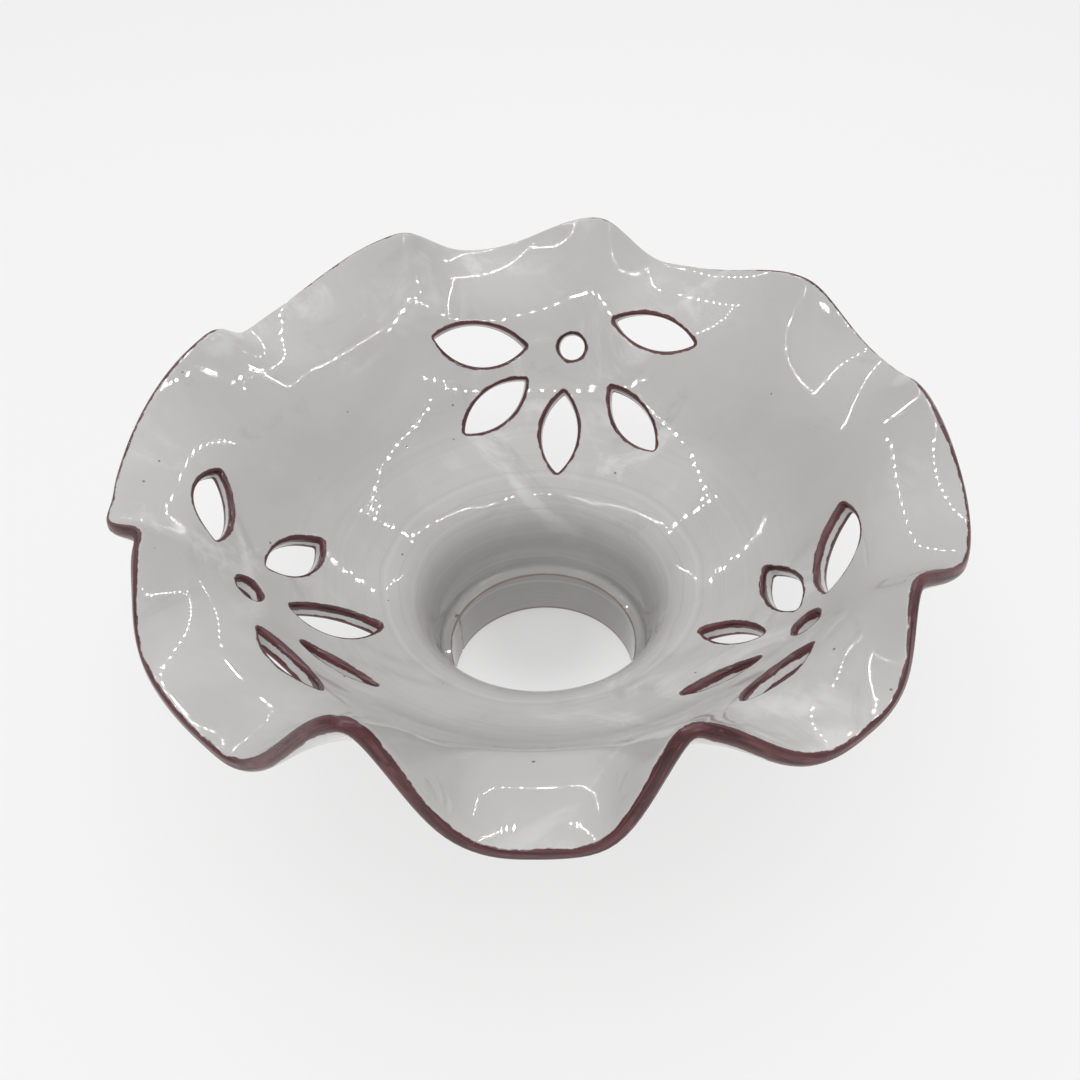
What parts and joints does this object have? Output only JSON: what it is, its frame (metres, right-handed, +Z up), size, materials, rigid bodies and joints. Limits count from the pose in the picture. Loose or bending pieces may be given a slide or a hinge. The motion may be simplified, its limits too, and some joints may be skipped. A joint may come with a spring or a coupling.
{
  "type": "openwork ceramic shade",
  "caption": "Ruffled bowl-shaped glazed ceramic shade with cut-out flowers, standing on an open stepped neck.",
  "frame": {"origin": "centre of the neck's through hole, on the neck's flat lower end", "axes": "+Z up along the neck's axis towards the ruffled rim; -Y is the side that faced the camera"},
  "size_m": [0.2293, 0.2342, 0.1161],
  "materials": {
    "white_glaze": "gloss",
    "maroon_glaze": "gloss"
  },
  "bodies": {
    "root": {"bowl": "white_glaze", "neck_collar": "white_glaze", "seat_ring": "white_glaze", "rim_band": "maroon_glaze", "flower_1_eye_edge": "maroon_glaze", "flower_1_petal_1_edge": "maroon_glaze", "flower_1_petal_2_edge": "maroon_glaze", "flower_1_petal_3_edge": "maroon_glaze", "flower_1_petal_4_edge": "maroon_glaze", "flower_1_petal_5_edge": "maroon_glaze", "flower_2_eye_edge": "maroon_glaze", "flower_2_petal_1_edge": "maroon_glaze", "flower_2_petal_2_edge": "maroon_glaze", "flower_2_petal_3_edge": "maroon_glaze", "flower_2_petal_4_edge": "maroon_glaze", "flower_2_petal_5_edge": "maroon_glaze", "flower_3_eye_edge": "maroon_glaze", "flower_3_petal_1_edge": "maroon_glaze", "flower_3_petal_2_edge": "maroon_glaze", "flower_3_petal_3_edge": "maroon_glaze", "flower_3_petal_4_edge": "maroon_glaze", "flower_3_petal_5_edge": "maroon_glaze"}
  },
  "joints": []
}
